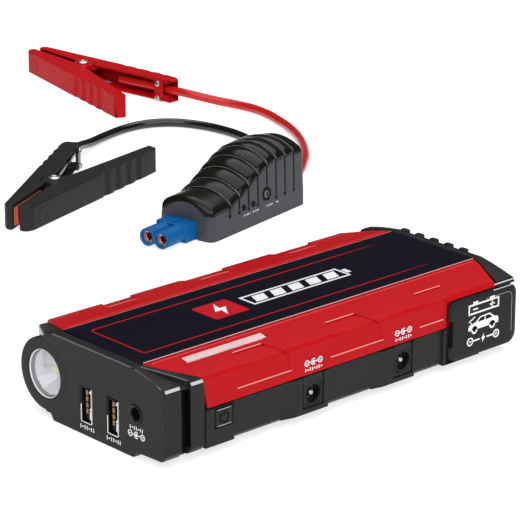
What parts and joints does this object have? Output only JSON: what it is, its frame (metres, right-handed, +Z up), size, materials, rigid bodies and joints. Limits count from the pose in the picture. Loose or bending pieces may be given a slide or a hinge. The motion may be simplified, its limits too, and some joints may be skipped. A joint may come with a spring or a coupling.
{
  "type": "jump starter pack",
  "caption": "Slim car jump starter pack with lamp, USB and DC sockets and a hinged socket cover, plus its control box lead with red and black spring clamps.",
  "frame": {"origin": "centre of the pack's flat base, on the surface that the pack stands on", "axes": "+X along the pack's length, away from the lamp and charging ports; +Y away from the side with the button, output jacks and jump socket; +Z up"},
  "size_m": [0.3177, 0.4438, 0.033],
  "materials": {
    "black_plastic": "satin moulded, fine grain",
    "red_plastic": "satin moulded",
    "navy_label": "smooth printed foil",
    "window_plastic": "translucent light window",
    "cover_rubber": "matte moulded rubber",
    "reflector_chrome": "mirror plated",
    "clear_lens": "clear polished",
    "led_phosphor": "yellow phosphor",
    "plated_steel": "nickel plated",
    "copper": "copper plated",
    "board_green": "solder mask",
    "cell_foil": "laminated foil pouch",
    "plug_blue": "satin moulded",
    "cable_red": "smooth flexible jacket",
    "cable_black": "smooth flexible jacket"
  },
  "bodies": {
    "pack": {"lower_case": "black_plastic", "upper_frame": "black_plastic", "front_panel": "red_plastic", "rear_panel": "red_plastic", "port_end_cap": "black_plastic", "far_end_cap": "black_plastic", "label_plate": "navy_label", "charge_window": "window_plastic", "lamp_reflector": "reflector_chrome", "lamp_lens": "clear_lens", "lamp_led": "led_phosphor", "usb_shell_left": "plated_steel", "usb_shell_right": "plated_steel", "usb_tongue_left": "black_plastic", "usb_tongue_right": "black_plastic", "charge_jack": "black_plastic", "output_jack_12v": "black_plastic", "output_jack_19v": "black_plastic", "main_board": "board_green", "battery_cell_1": "cell_foil", "battery_cell_2": "cell_foil", "battery_cell_3": "cell_foil", "jump_socket": "plug_blue", "socket_pin_1": "copper", "socket_pin_2": "copper", "case_screw_1": "plated_steel", "case_screw_2": "plated_steel", "case_screw_3": "plated_steel", "case_screw_4": "plated_steel"},
    "power_button": {"power_button": "black_plastic"},
    "socket_cover": {"socket_cover": "cover_rubber"},
    "lead_set": {"box_lid": "black_plastic", "box_base": "black_plastic", "control_board": "board_green", "plug_housing": "plug_blue", "plug_contact_1": "copper", "plug_contact_2": "copper", "status_light_pipe": "clear_lens", "cable_boot": "cover_rubber", "red_cable": "cable_red", "black_cable": "cable_black", "black_fixed_handle": "black_plastic", "black_fixed_jaw": "copper", "black_pivot_pin": "plated_steel", "black_spring": "plated_steel", "black_cable_strap": "plated_steel", "black_strap_screw_1": "plated_steel", "black_strap_screw_2": "plated_steel", "red_fixed_handle": "red_plastic", "red_fixed_jaw": "copper", "red_pivot_pin": "plated_steel", "red_spring": "plated_steel", "red_cable_strap": "red_plastic", "red_strap_screw_1": "plated_steel", "red_strap_screw_2": "plated_steel"},
    "boost_button": {"boost_button": "black_plastic"},
    "black_clamp": {"black_moving_handle": "black_plastic", "black_moving_jaw": "copper"},
    "red_clamp": {"red_moving_handle": "red_plastic", "red_moving_jaw": "copper"}
  },
  "joints": [
    {"name": "power_press", "type": "slide", "parent": "pack", "child": "power_button", "axis": [0, 1, 0], "range_m": [0, 0.0008], "stiffness_N_per_m": 400},
    {"name": "cover_open", "type": "hinge", "parent": "pack", "child": "socket_cover", "pos_m": [0.0846, -0.0376, 0.01525], "axis": [0, 0, 1], "range_deg": [0, 110]},
    {"name": "lead_set_away", "type": "slide", "parent": "pack", "child": "lead_set", "axis": [0, 1, 0], "range_m": [0, 0.1]},
    {"name": "boost_press", "type": "slide", "parent": "lead_set", "child": "boost_button", "axis": [-0.2079, 0.9781, 0], "range_m": [0, 0.0006], "stiffness_N_per_m": 400},
    {"name": "black_squeeze", "type": "hinge", "parent": "lead_set", "child": "black_clamp", "pos_m": [0.068, 0.218, 0.00575], "axis": [0, 0, 1], "range_deg": [0, 22], "stiffness_Nm_per_rad": 0.05, "deforming": ["black_spring"]},
    {"name": "red_squeeze", "type": "hinge", "parent": "lead_set", "child": "red_clamp", "pos_m": [0.2, 0.3635, 0.00575], "axis": [0, 0, 1], "range_deg": [0, 22], "stiffness_Nm_per_rad": 0.05, "deforming": ["red_spring"]}
  ]
}
